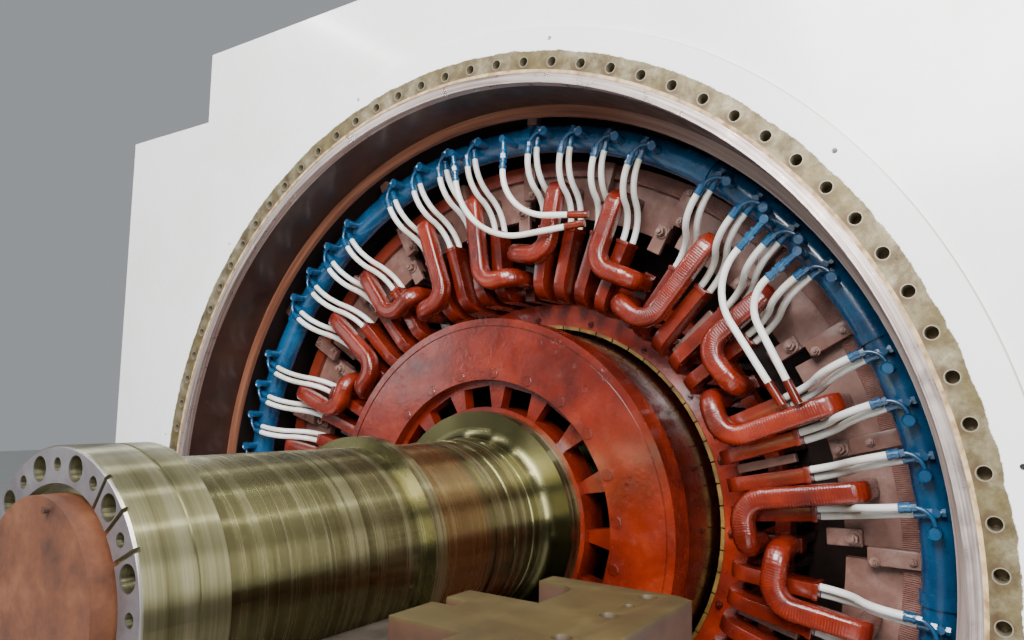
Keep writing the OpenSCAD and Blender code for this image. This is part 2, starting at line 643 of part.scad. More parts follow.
module half_coupling() color("silver") on_axis() difference() {
  turned() polygon([[recess_r, coupling_y], [coupling_r - 6, coupling_y], [coupling_r, coupling_y + 6],
    [coupling_r, coupling_y + 134], [coupling_r - 5, coupling_y + 136],
    [coupling_r - 5, coupling_y + 142], [coupling_r, coupling_y + 144],
    [coupling_r, coupling_y + coupling_l], [spigot_r + seat, coupling_y + coupling_l],
    [spigot_r + seat, coupling_y + recess_d], [recess_r, coupling_y + recess_d]]);
  for (k = [0:11]) polar(18.5 + 30*k) translate([coupling_pcr, 0, 0])
    bar_y(coupling_hole_r, coupling_y - 1, coupling_y + coupling_l + 1);
  for (k = [0:11]) polar(3.5 + 30*k) translate([coupling_pcr, 0, 0])
    bar_y(coupling_small_r, coupling_y - 1, coupling_y + 80);
  for (a = [26.5, 41.5, 57], h = [0, 180]) polar(a + h)
    translate([recess_r - 1, coupling_y - 1, -slot_w/2])
      cube([coupling_r - recess_r + 2, slot_d + 1, slot_w]);
}
module coupling_cap() color("chocolate") on_axis() {
  bar_y(cap_r, coupling_y - cap_up, coupling_y + recess_d - seat);
  polar(78) translate([cap_r - 22, 0, 0]) bar_y(9, coupling_y - cap_up - 14, coupling_y);
}
module hub_ring() color("orangered") on_axis() ring(hub_ring_r, core_shaft_r + seat, hub_y + hub_t + seat,
  hub_y + hub_t + hub_ring_l);
module spoke_ring() color("orangered") on_axis() difference() {
  ring(disc_hole_r - seat, hub_ring_r + seat, spoke_y, spoke_y + spoke_t);
  for (k = [0:spoke_n - 1]) polar(9 + k*360/spoke_n)
    translate([hub_ring_r - 30, spoke_y - 1, -window_w/2])
      cube([window_ro - hub_ring_r + 30, spoke_t + 2, window_w]);
}
module centring_disc() color("orangered") on_axis() difference() {
  ring(disc_r, disc_hole_r, disc_y, disc_y + disc_t);
  ring(groove_r + 3, groove_r - 3, disc_y - 1, disc_y + 5);
}
module disc_bolts() color("silver") on_axis() for (k = [0:disc_bolt_n - 1])
  polar((k + 0.3)*360/disc_bolt_n) translate([disc_bolt_pcr, 0, 0])
    bar_y(disc_bolt_r, disc_y - 8, disc_y - seat);
module retaining_ring() color("dimgray") on_axis()
  ring(ring_r, ring_r - ring_wall, disc_y + disc_t + seat, core_y - body_over - seat);
module rotor_body() color("gray") on_axis()
  ring(body_r, core_shaft_r + seat, core_y - body_over, core_y + core_l + body_over);
module rear_retaining_ring() color("dimgray") on_axis()
  ring(ring_r, ring_r - ring_wall, core_y + core_l + body_over + seat, core_y + core_l + body_over + 880);
module rear_disc() color("orangered") on_axis()
  ring(disc_r, core_shaft_r + seat, core_y + core_l + body_over + 880 + seat,
    core_y + core_l + body_over + 880 + disc_t);

front_wall();
front_chamber();
stator_barrel();
barrel_ribs();
rear_chamber();
rear_wall();
base_rails();
flange_upper();
flange_lower();
gasket_ring();
spigot_rim();
bore_lining();
baffle_ring();
core_frame();
stator_core();
winding_bars();
bar_heads();
support_ring();
packing_blocks();
clamp_plates();
clamp_brackets();
bus_arcs();
inner_leads();
phase_leads();
manifold_pipe();
manifold_collars();
manifold_fittings();
winding_hoses();
rear_hoses();
single_hoses();
hose_taps();
bearing_pedestal();
bearing_shell();
pedestal_base();
shaft();
half_coupling();
coupling_cap();
hub_ring();
spoke_ring();
centring_disc();
disc_bolts();
retaining_ring();
rotor_body();
rear_retaining_ring();
rear_disc();
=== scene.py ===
import math
import bmesh
import bpy
from mathutils import Matrix, Vector


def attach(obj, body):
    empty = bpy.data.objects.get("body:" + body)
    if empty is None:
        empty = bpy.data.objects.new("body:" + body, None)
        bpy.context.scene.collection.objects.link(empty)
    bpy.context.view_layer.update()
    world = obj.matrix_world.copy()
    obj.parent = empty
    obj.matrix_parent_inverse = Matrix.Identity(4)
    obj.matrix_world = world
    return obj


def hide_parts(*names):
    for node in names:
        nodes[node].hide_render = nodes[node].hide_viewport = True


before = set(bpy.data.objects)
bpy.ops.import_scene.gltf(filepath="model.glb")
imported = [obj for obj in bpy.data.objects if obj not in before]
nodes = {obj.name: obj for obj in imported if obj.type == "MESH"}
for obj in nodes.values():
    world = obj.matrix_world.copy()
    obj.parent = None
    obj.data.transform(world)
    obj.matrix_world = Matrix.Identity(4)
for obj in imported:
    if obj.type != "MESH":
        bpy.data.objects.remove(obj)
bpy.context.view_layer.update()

# --- Casing
# Welded steel boxes, barrel and rails that stand on the floor, under a thick coat of glossy white paint.
# The coat has a faint orange peel, dust and grey scuffs low down. A fine dark line round the flange's edge
# is painted shade where the flange steps down to the wall.
axis_height = 2.35
flange_plane = -2.924


def skin_of(m):
    return m.node_tree.nodes["Principled BSDF"]


def finish(name, colour, rough, metal=0.0, coat=0.0):
    m = bpy.data.materials.new(name)
    m.use_nodes = True
    skin = skin_of(m)
    skin.inputs["Base Color"].default_value = (*colour, 1)
    skin.inputs["Roughness"].default_value = rough
    skin.inputs["Metallic"].default_value = metal
    skin.inputs["Coat Weight"].default_value = coat
    skin.inputs["Coat Roughness"].default_value = 0.12
    return m


def add(m, kind, out=0, **sets):
    n = m.node_tree.nodes.new("ShaderNode" + kind)
    for key, value in sets.items():
        if key in ("operation", "data_type", "feature"):
            setattr(n, key, value)
            continue
        socket = n.inputs[int(key[1:])] if key[0] == "i" else n.inputs[key]
        if isinstance(value, bpy.types.NodeSocket):
            m.node_tree.links.new(value, socket)
        else:
            socket.default_value = value
    return n.outputs[out]


def wire(m, socket, name):
    m.node_tree.links.new(socket, skin_of(m).inputs[name])


def where(m):
    return add(m, "TexCoord", out=3)


def speckle(m, scale, detail=4.0, rough=0.55, distort=0.0):
    return add(m, "TexNoise", Vector=where(m), Scale=scale, Detail=detail, Roughness=rough,
               Distortion=distort)


def steps(m, value, *stops):
    n = m.node_tree.nodes.new("ShaderNodeValToRGB")
    m.node_tree.links.new(value, n.inputs[0])
    while len(n.color_ramp.elements) < len(stops):
        n.color_ramp.elements.new(0.5)
    for e, (at, c) in zip(n.color_ramp.elements, sorted(stops, key=lambda s: s[0])):
        e.position = at
        e.color = (*c, 1) if len(c) == 3 else (c[0], c[0], c[0], 1)
    return n.outputs[0]


def blend_in(m, share, a, b):
    return add(m, "Mix", out=2, data_type="RGBA", i0=share,
               i6=(*a, 1) if isinstance(a, tuple) else a, i7=(*b, 1) if isinstance(b, tuple) else b)


def sums(m, operation, a, b=0.0):
    return add(m, "Math", operation=operation, i0=a, i1=b)


def ramp(m, value, low, high, start=0.0, end=1.0):
    return add(m, "MapRange", i0=value, i1=low, i2=high, i3=start, i4=end)


def relief(m, height, depth, share=1.0):
    wire(m, add(m, "Bump", Height=height, Distance=depth, Strength=share), "Normal")


def from_axis(m):
    flat = add(m, "VectorMath", operation="SUBTRACT", i0=where(m), i1=(0, 0, axis_height))
    flat = add(m, "VectorMath", operation="MULTIPLY", i0=flat, i1=(1, 0, 1))
    return add(m, "VectorMath", out=1, operation="LENGTH", i0=flat)


def part_of(m, axis):
    return add(m, "SeparateXYZ", out="XYZ".index(axis), Vector=where(m))


def between(m, value, low, high, soft):
    up = ramp(m, value, low - soft, low)
    return sums(m, "MULTIPLY", up, ramp(m, value, high, high + soft, 1.0, 0.0))


def wear(node, material):
    nodes[node].data.materials.clear()
    nodes[node].data.materials.append(material)


white = finish("white_gloss_paint", (0.86, 0.86, 0.85), 0.22, coat=0.5)
dust = steps(white, speckle(white, 1.6, 6, 0.6), (0.42, (0.0,)), (0.72, (1.0,)))
low = ramp(white, part_of(white, "Z"), 0.9, 0.0, 0.0, 0.75)
tone = blend_in(white, dust, (0.88, 0.88, 0.87), (0.80, 0.795, 0.77))
scuffs = steps(white, speckle(white, 5.0, 8, 0.7), (0.5, (0.0,)), (0.62, (1.0,)))
tone = blend_in(white, sums(white, "MULTIPLY", low, scuffs), tone, (0.46, 0.43, 0.38))
front = ramp(white, part_of(white, "Y"), -2.88, -2.90, 0.0, 0.75)
# The dark line just outside the flange's edge is painted shade at its step, not a seam in the paint.
shade_line_inner, shade_line_outer = 1.990, 1.9935
edge_shade = sums(white, "MULTIPLY", front, between(white, from_axis(white), shade_line_inner, shade_line_outer, 0.0015))
tone = blend_in(white, edge_shade, tone, (0.30, 0.24, 0.15))
wire(white, tone, "Base Color")
wire(white, steps(white, speckle(white, 4.0, 5), (0.3, (0.2,)), (0.75, (0.36,))), "Roughness")
relief(white, speckle(white, 55.0, 3), 0.0012, 0.25)
for n in ("front_wall", "front_chamber", "stator_barrel", "barrel_ribs", "rear_chamber",
          "rear_wall", "base_rails"):
    wear(n, white)

# --- End flange
# Two bare steel half rings, machined flat, stained yellow green and brown by old sealant and oil.
# The white coat laps over their outer part with a ragged edge.
bare_to = 1.893
bolt_circle, bolt_holes = 1.850, 88
hole_edge, chamfer_highlight_edge = 0.0190, 0.0215


def turn_of(m):
    x, z = part_of(m, "X"), sums(m, "SUBTRACT", part_of(m, "Z"), axis_height)
    return add(m, "Math", operation="ARCTAN2", i0=z, i1=x)


def from_hole(m, circle, count):
    step = 2 * math.pi / count
    along = sums(m, "FRACT", sums(m, "DIVIDE", turn_of(m), step))
    along = sums(m, "MULTIPLY", sums(m, "SUBTRACT", along, 0.5), step * circle)
    out = sums(m, "SUBTRACT", from_axis(m), circle)
    squares = sums(m, "ADD", sums(m, "MULTIPLY", along, along), sums(m, "MULTIPLY", out, out))
    return sums(m, "POWER", squares, 0.5)


flange_steel = finish("stained_flange_steel", (0.30, 0.28, 0.22), 0.45)
grain = speckle(flange_steel, 16.0, 9, 0.7)
steel = steps(flange_steel, grain, (0.30, (0.060, 0.042, 0.020)), (0.44, (0.130, 0.100, 0.052)),
              (0.58, (0.225, 0.190, 0.115)), (0.76, (0.42, 0.385, 0.29)))
oil = steps(flange_steel, speckle(flange_steel, 3.1, 7, 0.65, distort=0.6), (0.47, (0.0,)),
            (0.66, (0.75,)))
steel = blend_in(flange_steel, oil, steel, (0.115, 0.085, 0.022))
hole = from_hole(flange_steel, bolt_circle, bolt_holes)
ragged = sums(flange_steel, "ADD", hole,
              sums(flange_steel, "MULTIPLY", speckle(flange_steel, 24.0, 6, 0.7), 0.05))
inward = ramp(flange_steel, from_axis(flange_steel), 1.868, 1.835, 0.1, 0.85)
stain = sums(flange_steel, "MULTIPLY", inward, ramp(flange_steel, ragged, 0.052, 0.074, 1.0, 0.0))
steel = blend_in(flange_steel, stain, steel, (0.085, 0.05, 0.022))
# A lighter ring round each bolt hole is a painted highlight on its chamfer.
chamfer_highlight = between(flange_steel, hole, hole_edge, chamfer_highlight_edge, 0.0008)
steel = blend_in(flange_steel, chamfer_highlight, steel, (0.25, 0.22, 0.15))
edge = sums(flange_steel, "ADD", from_axis(flange_steel),
            sums(flange_steel, "MULTIPLY", speckle(flange_steel, 11.0, 8, 0.75), 0.034))
painted = ramp(flange_steel, edge, bare_to + 0.016, bare_to + 0.019)
wire(flange_steel, blend_in(flange_steel, painted, steel, (0.86, 0.86, 0.85)), "Base Color")
wire(flange_steel, ramp(flange_steel, painted, 0.0, 1.0, 0.45, 0.0), "Metallic")
wire(flange_steel, ramp(flange_steel, painted, 0.0, 1.0, 0.45, 0.24), "Roughness")
relief(flange_steel, sums(flange_steel, "ADD", sums(flange_steel, "MULTIPLY", grain, 0.5), painted),
       0.0015, 0.5)
wear("flange_upper", flange_steel)
wear("flange_lower", flange_steel)

# --- Gasket and spigot rim
# A cream rubber cord lies in a groove inside the bolt holes. Inside it is the bright turned rim
# that centres the end shield, with the fine rings and dark streaks of its turning.
def swirl(m, pitch, depth):
    wave = sums(m, "SINE", sums(m, "MULTIPLY", from_axis(m), 2 * math.pi / pitch))
    return sums(m, "MULTIPLY", wave, depth)


def streaks(m, across, along, detail=6.0):
    x, y, z = (part_of(m, axis) for axis in "XYZ")
    spot = add(m, "CombineXYZ", i0=sums(m, "MULTIPLY", from_axis(m), across),
               i1=sums(m, "MULTIPLY", x, along),
               i2=sums(m, "ADD", sums(m, "MULTIPLY", z, along), sums(m, "MULTIPLY", y, across)))
    return add(m, "TexNoise", Vector=spot, Scale=1.0, Detail=detail, Roughness=0.6)


gasket = finish("cream_gasket", (0.62, 0.52, 0.38), 0.6)
wire(gasket, steps(gasket, speckle(gasket, 25.0, 6), (0.35, (0.22, 0.13, 0.05)),
                   (0.6, (0.52, 0.37, 0.20))), "Base Color")
relief(gasket, speckle(gasket, 120.0, 3), 0.001, 0.5)
wear("gasket_ring", gasket)
rim = finish("bright_rim", (0.62, 0.57, 0.56), 0.3, metal=0.75)
wire(rim, steps(rim, streaks(rim, 130.0, 1.6), (0.32, (0.20, 0.13, 0.10)), (0.50, (0.46, 0.38, 0.35)),
                (0.72, (0.66, 0.60, 0.58))), "Base Color")
wire(rim, steps(rim, speckle(rim, 18.0, 5), (0.3, (0.22,)), (0.7, (0.48,))), "Roughness")
relief(rim, swirl(rim, 0.002, 0.5), 0.0004, 0.4)
wear("spigot_rim", rim)

# --- Bore and casing inside
# The inside of the end box carries a dull brown red primer. The baffle ring in it is terracotta on
# the left, and rubbed to dusty steel on the right.
primer = finish("brown_red_primer", (0.13, 0.035, 0.022), 0.38, coat=0.2)
wire(primer, steps(primer, speckle(primer, 3.0, 7, 0.6), (0.3, (0.012, 0.005, 0.004)),
                   (0.55, (0.032, 0.012, 0.008)), (0.8, (0.07, 0.026, 0.016))), "Base Color")
wire(primer, steps(primer, speckle(primer, 9.0, 5), (0.3, (0.28,)), (0.75, (0.55,))), "Roughness")
relief(primer, speckle(primer, 30.0, 4), 0.002, 0.35)
wear("bore_lining", primer)
terracotta = finish("terracotta_coat", (0.34, 0.115, 0.07), 0.4, coat=0.2)
brushed = streaks(terracotta, 60.0, 1.4)
clay = steps(terracotta, brushed, (0.32, (0.085, 0.028, 0.016)), (0.50, (0.20, 0.075, 0.042)),
             (0.76, (0.31, 0.14, 0.085)))
bare = steps(terracotta, brushed, (0.32, (0.17, 0.11, 0.095)), (0.50, (0.32, 0.235, 0.21)),
             (0.76, (0.48, 0.40, 0.38)))
rubbed = ramp(terracotta, part_of(terracotta, "X"), 0.55, 1.15)
wire(terracotta, blend_in(terracotta, rubbed, clay, bare), "Base Color")
relief(terracotta, speckle(terracotta, 40.0, 4), 0.0015, 0.3)
wear("baffle_ring", terracotta)
inside = finish("dark_casing_inside", (0.035, 0.014, 0.010), 0.6)
wire(inside, steps(inside, speckle(inside, 2.5, 6), (0.3, (0.004, 0.002, 0.002)),
                   (0.75, (0.020, 0.008, 0.006))), "Base Color")
relief(inside, speckle(inside, 20.0, 4), 0.002, 0.3)
wear("core_frame", inside)

# --- Core
# Thousands of thin sheets of dark varnished iron, pressed into one ring and glued. Their edges show
# as fine lines round the bore.
iron = finish("laminated_iron", (0.06, 0.04, 0.035), 0.45, metal=0.3)
sheet_pitch = 0.012
sheets = sums(iron, "SINE", sums(iron, "MULTIPLY", part_of(iron, "Y"), 2 * math.pi / sheet_pitch))
wire(iron, steps(iron, speckle(iron, 5.0, 6), (0.3, (0.03, 0.018, 0.015)), (0.7, (0.10, 0.055, 0.045))),
     "Base Color")
relief(iron, sheets, 0.001, 0.5)
wear("stator_core", iron)

# --- Bar heads and bars
# Copper bars taped with mica and glass, dipped in glossy red enamel. Their ends stand like organ
# pipes round the bore, with rounded corners, runs and thick drops of enamel.
enamel_red = (0.36, 0.045, 0.018)
enamel_tones = ((0.28, (0.050, 0.005, 0.003)), (0.45, (0.110, 0.008, 0.0025)),
                (0.60, (0.170, 0.014, 0.004)), (0.80, (0.260, 0.036, 0.012)))


def enamel(name, wrap=None, worn=0.0, lift=1.0):
    m = finish(name, enamel_red, 0.22, coat=0.6)
    blotch = speckle(m, 4.5, 7, 0.6, distort=0.3)
    skin = steps(m, blotch, *((at, tuple(c * lift for c in tone)) for at, tone in enamel_tones))
    if worn:
        rub = steps(m, speckle(m, 23.0, 8, 0.7), (0.60, (0.0,)), (0.75, (worn,)))
        skin = blend_in(m, rub, skin, (0.26, 0.10, 0.065))
    wire(m, skin, "Base Color")
    wire(m, steps(m, speckle(m, 12.0, 6), (0.3, (0.13,)), (0.75, (0.42,))), "Roughness")
    height = sums(m, "MULTIPLY", speckle(m, 32.0, 4, distort=0.5), 0.7)
    if wrap:
        height = sums(m, "ADD", height, wrap(m))
    relief(m, height, 0.004, 0.6)
    return m


def rounded(bm, edges, width, segments):
    bmesh.ops.bevel(bm, geom=edges, offset=width, offset_type="OFFSET", segments=segments, profile=0.5,
                    affect="EDGES", clamp_overlap=True, material=-1)


def eased(node, name, width, segments, body, slot_name):
    bm = bmesh.new()
    bm.from_mesh(nodes[node].data)
    bmesh.ops.remove_doubles(bm, verts=bm.verts, dist=1e-5)
    bmesh.ops.dissolve_limit(bm, angle_limit=math.radians(1), verts=bm.verts, edges=bm.edges)
    corner = math.radians(25)
    sharp = [e for e in bm.edges if len(e.link_faces) == 2 and e.calc_face_angle(0) > corner]
    rounded(bm, sharp, width, segments)
    for f in bm.faces:
        f.smooth = True
    for e in bm.edges:
        e.smooth = e.calc_face_angle(0) < math.radians(40)
    return place(bm, name, body, slot_name, node)


def place(bm, name, body, slot_name, *stands_for):
    me = bpy.data.meshes.new(name)
    bm.to_mesh(me)
    bm.free()
    piece = bpy.data.objects.new(name, me)
    bpy.context.scene.collection.objects.link(piece)
    if stands_for:
        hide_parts(*stands_for)
    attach(piece, body)
    return piece


heads = eased("bar_heads", "enamelled_bar_heads", 0.012, 3, "stator", "red_enamel")
heads.data.materials.append(enamel("head_enamel"))
wear("winding_bars", enamel("bar_enamel", lift=0.45))

# --- Support ring and packing
# A wide enamelled ring carries the bar ends, with a circle of studs in its face. Ochre resin blocks
# close its inner edge.
# Its enamel is mixed 2.2 times as bright as the heads', which is painted light on the ring's face.
wear("support_ring", enamel("ring_enamel", worn=0.3, lift=2.2))


def to_machine(angle):
    return (Matrix.Translation((0, flange_plane, axis_height))
            @ Matrix.Rotation(-math.radians(angle), 4, "Y"))


def facing(angle, radius, depth):
    return (to_machine(angle) @ Matrix.Translation((radius, depth, 0))
            @ Matrix.Rotation(math.pi / 2, 4, "X"))


def turned_disc(bm, at, radius, low, high, sides=20, taper=0.0):
    middle = Matrix.Translation((0, 0, (low + high) / 2))
    return bmesh.ops.create_cone(bm, cap_ends=True, segments=sides, radius1=radius,
                                 radius2=radius - taper, depth=high - low, matrix=at @ middle)["verts"]


def bolt(bm, at, across, head, washer, thick, tip=0.006):
    turned_disc(bm, at, washer, 0, thick, 24, 0.001)
    turned_disc(bm, at, across / math.sqrt(3), thick, thick + head, 6, 0.0015)
    turned_disc(bm, at, 0.3 * across, thick + head, thick + head + tip, 12, 0.002)


stud_count, first_stud, stud_circle, ring_face = 19, 17.6, 0.888, 0.740
bm = bmesh.new()
for n in range(stud_count):
    bolt(bm, facing(first_stud + n * 360 / stud_count, stud_circle, ring_face),
         0.024, 0.014, 0.017, 0.003, 0.010)
studs = place(bm, "support_ring_studs", "stator", "red_enamel")
studs.data.materials.append(enamel("stud_enamel", worn=0.4, lift=0.8))
ochre = finish("ochre_resin", (0.42, 0.25, 0.05), 0.5)
wire(ochre, steps(ochre, speckle(ochre, 15.0, 6), (0.3, (0.10, 0.045, 0.010)), (0.6, (0.30, 0.17, 0.035)),
                  (0.8, (0.42, 0.27, 0.08))), "Base Color")
relief(ochre, speckle(ochre, 70.0, 4), 0.001, 0.4)
wear("packing_blocks", ochre)

# --- Buses and clamps
# Ring buses laced with cord, held by dusty pink brown clamp plates, brackets and webs that are
# bolted to the core frame.
laced = finish("laced_bus", (0.20, 0.07, 0.05), 0.35, coat=0.6)
cord_pitch = math.radians(0.26)
turns = sums(laced, "MULTIPLY", turn_of(laced), 2 * math.pi / cord_pitch)
turns = sums(laced, "ADD", turns, sums(laced, "MULTIPLY", speckle(laced, 14.0, 4), 9.0))
cord = sums(laced, "SINE", turns)
pink = steps(laced, speckle(laced, 8.0, 8, 0.7), (0.3, (0.12, 0.035, 0.026)), (0.55, (0.25, 0.11, 0.085)),
             (0.8, (0.40, 0.23, 0.19)))
red = steps(laced, speckle(laced, 6.0, 7, 0.6), (0.3, (0.09, 0.010, 0.005)), (0.7, (0.22, 0.030, 0.012)))
right = ramp(laced, part_of(laced, "X"), 0.15, 0.85)
wire(laced, blend_in(laced, right, red, pink), "Base Color")
deep = sums(laced, "MULTIPLY", cord, ramp(laced, right, 0.0, 1.0, 0.15, 1.0))
relief(laced, sums(laced, "ADD", deep, speckle(laced, 60.0, 4)), 0.003, 0.8)
wear("bus_arcs", laced)
dusty = finish("dusty_pink_brown", (0.20, 0.095, 0.072), 0.5)
wire(dusty, steps(dusty, speckle(dusty, 6.0, 8, 0.68), (0.3, (0.105, 0.042, 0.031)),
                  (0.52, (0.20, 0.098, 0.076)), (0.78, (0.38, 0.24, 0.205))), "Base Color")
wire(dusty, steps(dusty, speckle(dusty, 14.0, 5), (0.3, (0.26,)), (0.75, (0.55,))), "Roughness")
relief(dusty, speckle(dusty, 45.0, 4), 0.0015, 0.4)
wear("clamp_plates", dusty)
brackets = eased("clamp_brackets", "clamp_brackets_eased", 0.004, 2, "stator", "dusty_brown")
brackets.data.materials.append(dusty)


def bar_block(bm, angle, inner, outer, front, back, wide):
    made = bmesh.ops.create_cube(bm, size=1.0)["verts"]
    middle = Vector(((inner + outer) / 2, (front + back) / 2, 0))
    bmesh.ops.scale(bm, vec=(outer - inner, back - front, wide), verts=made)
    bmesh.ops.transform(bm, matrix=to_machine(angle) @ Matrix.Translation(middle), verts=made)


first_crossing, crossing_pitch = -0.5, 30
crossings = [first_crossing + crossing_pitch * j for j in range(12)]
finger_face, finger_back, bracket_face = 0.575, 0.5995, 0.5398
finger_turn = 2
bm = bmesh.new()
for crossing in crossings:
    middle = crossing + crossing_pitch / 2
    bar_block(bm, crossing + finger_turn, 1.290, 1.412, finger_face, finger_back, 0.060)
    bar_block(bm, middle, 1.355, 1.428, finger_face, finger_back, 0.062)
    bar_block(bm, middle, 1.006, 1.231, 0.560, 0.600, 0.034)
    bar_block(bm, middle, 1.036, 1.084, 0.598, 0.859, 0.034)
rounded(bm, [e for e in bm.edges if e.calc_face_angle(0) > 0.5], 0.004, 2)
fingers = place(bm, "clamp_fingers_and_spacers", "stator", "dusty_brown")
fingers.data.materials.append(dusty)
bm = bmesh.new()
for crossing in crossings:
    middle = crossing + crossing_pitch / 2
    for angle, radius in ((crossing - 0.8, 1.455), (crossing - 0.1, 1.575), (middle, 1.500)):
        bolt(bm, facing(angle, radius, bracket_face), 0.024, 0.014, 0.018, 0.003, 0.008)
    for angle, radius in ((crossing + finger_turn, 1.383), (middle, 1.391)):
        bolt(bm, facing(angle, radius, finger_face), 0.036, 0.022, 0.029, 0.006, 0.012)
clamp_bolts = place(bm, "clamp_bolts", "stator", "dusty_brown")
bolt_coat = finish("dusty_bolt_coat", (0.22, 0.11, 0.085), 0.4, coat=0.3)
wire(bolt_coat, steps(bolt_coat, speckle(bolt_coat, 40.0, 5), (0.3, (0.13, 0.055, 0.04)),
                      (0.7, (0.34, 0.21, 0.17))), "Base Color")
clamp_bolts.data.materials.append(bolt_coat)

# --- Phase leads
# Heavy taped conductors that cross from bar to bar, two to each crossing. Glass tape is wound on by
# hand, each turn half over the last, so the turns show as ridges under the thick enamel.
tape_pitch = 0.0095
arm_turn = 9.0


def tape(m):
    along = add(m, "Attribute", out=2)
    m.node_tree.nodes[-1].attribute_name = "run"
    along = sums(m, "ADD", along, sums(m, "MULTIPLY", speckle(m, 9.0, 3), 0.010))
    ridge = sums(m, "SINE", sums(m, "MULTIPLY", along, math.pi / tape_pitch))
    return sums(m, "MULTIPLY", sums(m, "ABSOLUTE", ridge), 0.26)


def about(centre, axis, angle):
    return (Matrix.Translation(centre) @ Matrix.Rotation(angle, 4, axis)
            @ Matrix.Translation(-Vector(centre)))


def skin_at(around, centre, wide, deep, square):
    c, s = math.cos(around), math.sin(around)
    k = (abs(c) ** square + abs(s) ** square) ** (-1 / square)
    return Vector(centre) + Vector((deep * s * k, 0, wide * c * k))


def taped_lead(bm, run, around, angle, side, arm_at):
    plane, foot, elbow, fist, knee, tail = 0.410, 0.599, 0.085, 0.050, 0.040, 0.110
    start = (1.452, foot, 0)
    drop = (foot - plane - knee) / 4
    leg = (start[0] - knee - arm_at - elbow) / 8
    arm = (arm_at * math.tan(math.radians(arm_turn)) - elbow - fist) / 3
    bend = (about((start[0] - knee, plane + knee, 0), "Z", -math.pi / 12), knee * math.pi / 12)
    corner = (about((arm_at + elbow, plane, elbow), "Y", math.pi / 20), elbow * math.pi / 20)
    curl = (about((arm_at, plane + fist, arm * 3 + elbow), "X", -math.pi / 18), fist * math.pi / 18)
    route = [(Matrix.Translation((0, -drop, 0)), drop, 0.034, 0.030, 6)] * 4
    route += [(*bend, 0.036, 0.032, 6)] * 6
    route += [(Matrix.Translation((-leg, 0, 0)), leg, 0.0365, 0.034, 6)] * 7
    route += [(Matrix.Translation((-leg, 0, 0)), leg, 0.038, 0.036, 4.5)]
    route += [(*corner, 0.0385 + 0.0004 * n, 0.037 + 0.0005 * n, 4.2 - 0.13 * n) for n in range(10)]
    route += [(Matrix.Translation((0, 0, arm)), arm, 0.0425, 0.042, 2.7)] * 3
    route += [(*curl, 0.0425 - 0.0002 * n, 0.042 - 0.0001 * n, 2.6 - 0.05 * n) for n in range(9)]
    route += [(Matrix.Translation((0, tail / 4, 0)), tail / 4, 0.040, 0.040, 2.2)] * 4
    made = bmesh.ops.create_circle(bm, cap_ends=True, segments=24, radius=1.0)["verts"]
    for v in made:
        v[around] = math.atan2(v.co.y, v.co.x)
        v.co = skin_at(v[around], start, 0.034, 0.030, 6)
    ring = list({e for v in made for e in v.link_edges})
    lead, gone, moved = set(made), 0.0, Matrix.Identity(4)
    for step, length, wide, deep, square in route:
        moved, gone = step @ moved, gone + length
        out = bmesh.ops.extrude_edge_only(bm, edges=ring)["geom"]
        fresh = {g for g in out if isinstance(g, bmesh.types.BMVert)}
        for v in fresh:
            v[run] = gone
            v.co = moved @ skin_at(v[around], start, wide, deep, square)
        ring = [g for g in out
                if isinstance(g, bmesh.types.BMEdge) and all(v in fresh for v in g.verts)]
        lead |= fresh
    bmesh.ops.contextual_create(bm, geom=ring)
    flip = Matrix.Identity(4) if side > 0 else Matrix.Scale(-1, 4, (0, 0, 1))
    bmesh.ops.transform(bm, matrix=to_machine(angle) @ flip, verts=list(lead))


lead_enamel = enamel("lead_enamel", wrap=tape, lift=1.15)
for node_name, arm_at, way in (("inner_leads", 1.040, 1), ("phase_leads", 1.146, -1)):
    bm = bmesh.new()
    for layer_name in ("run", "around"):
        bm.verts.layers.float.new(layer_name)
    run, around = (bm.verts.layers.float[layer_name] for layer_name in ("run", "around"))
    for j, crossing in enumerate(crossings):
        side = way * (-1 if j % 3 == 0 else 1)
        taped_lead(bm, run, around, crossing - side * arm_turn, side, arm_at)
    bmesh.ops.recalc_face_normals(bm, faces=bm.faces)
    for f in bm.faces:
        f.smooth = len(f.verts) == 4
    piece = place(bm, "taped_" + node_name, "stator", "red_enamel", node_name)
    piece.data.materials.append(lead_enamel)
wear("hose_taps", enamel("tap_enamel", lift=0.8))

# --- Ring pipe
# Steel water pipe in blue enamel, with bosses, bent tubes and nozzles welded on. The hoses are held
# on them by sleeves with two crimped bands and a nut.
blue = finish("blue_enamel", (0.006, 0.075, 0.27), 0.22, coat=0.8)
wire(blue, steps(blue, speckle(blue, 5.0, 7, 0.6), (0.3, (0.001, 0.030, 0.085)),
                 (0.55, (0.003, 0.068, 0.165)), (0.8, (0.010, 0.125, 0.26))), "Base Color")
wire(blue, steps(blue, speckle(blue, 16.0, 6), (0.3, (0.14,)), (0.75, (0.40,))), "Roughness")
relief(blue, speckle(blue, 50.0, 4), 0.0015, 0.4)
for n in ("manifold_pipe", "manifold_collars", "manifold_fittings"):
    wear(n, blue)


def radial(angle, radius, depth, aside=0.0):
    return (to_machine(angle) @ Matrix.Translation((radius, depth, aside))
            @ Matrix.Rotation(math.pi / 2, 4, "Y"))


def bands(bm, angle, depth, aside, radius, wide, *places):
    for at in places:
        turned_disc(bm, radial(angle, at, depth, aside), radius, 0, wide, 16)


def nut(bm, angle, depth, aside, at, radius, wide):
    turned_disc(bm, radial(angle, at, depth, aside), radius, 0, wide, 6)


